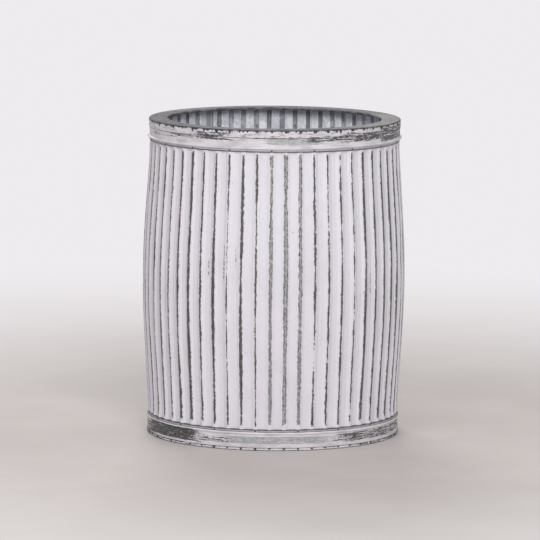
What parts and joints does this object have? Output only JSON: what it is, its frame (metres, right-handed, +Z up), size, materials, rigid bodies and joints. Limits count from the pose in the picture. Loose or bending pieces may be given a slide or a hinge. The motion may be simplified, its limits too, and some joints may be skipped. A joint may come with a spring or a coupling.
{
  "type": "ribbed metal tub planter",
  "caption": "Free-standing barrel-shaped metal planter of ribbed sheet with beaded hoops, a flat flanged rim and a hooked floor pan",
  "frame": {"origin": "centre of the footprint, on the plane that the tub stands on", "axes": "+Z up along the tub's axis of rotation, -Y towards the front seen in the picture, +X to its right"},
  "size_m": [0.4416, 0.4415, 0.53],
  "materials": {
    "painted_sheet": "chalky off-white paint rubbed through to dark metal on the rib crests",
    "worn_hoop_paint": "off-white paint worn in level streaks to grey-green metal",
    "weathered_zinc": "thin grey-brown wash over zinc, brushed round the rim",
    "galvanised_sheet": "mottled galvanised steel, dull",
    "bare_wire": "dull galvanised wire",
    "bare_rivet": "dark tarnished steel"
  },
  "bodies": {
    "root": {"fluted_wall": "painted_sheet", "seam_rivets": "bare_rivet", "rim_cap": "weathered_zinc", "rim_lip_wire": "bare_wire", "rim_band": "worn_hoop_paint", "rim_rivets": "bare_rivet", "base_band": "worn_hoop_paint", "base_rivets": "bare_rivet", "base_pan": "galvanised_sheet"}
  },
  "joints": []
}
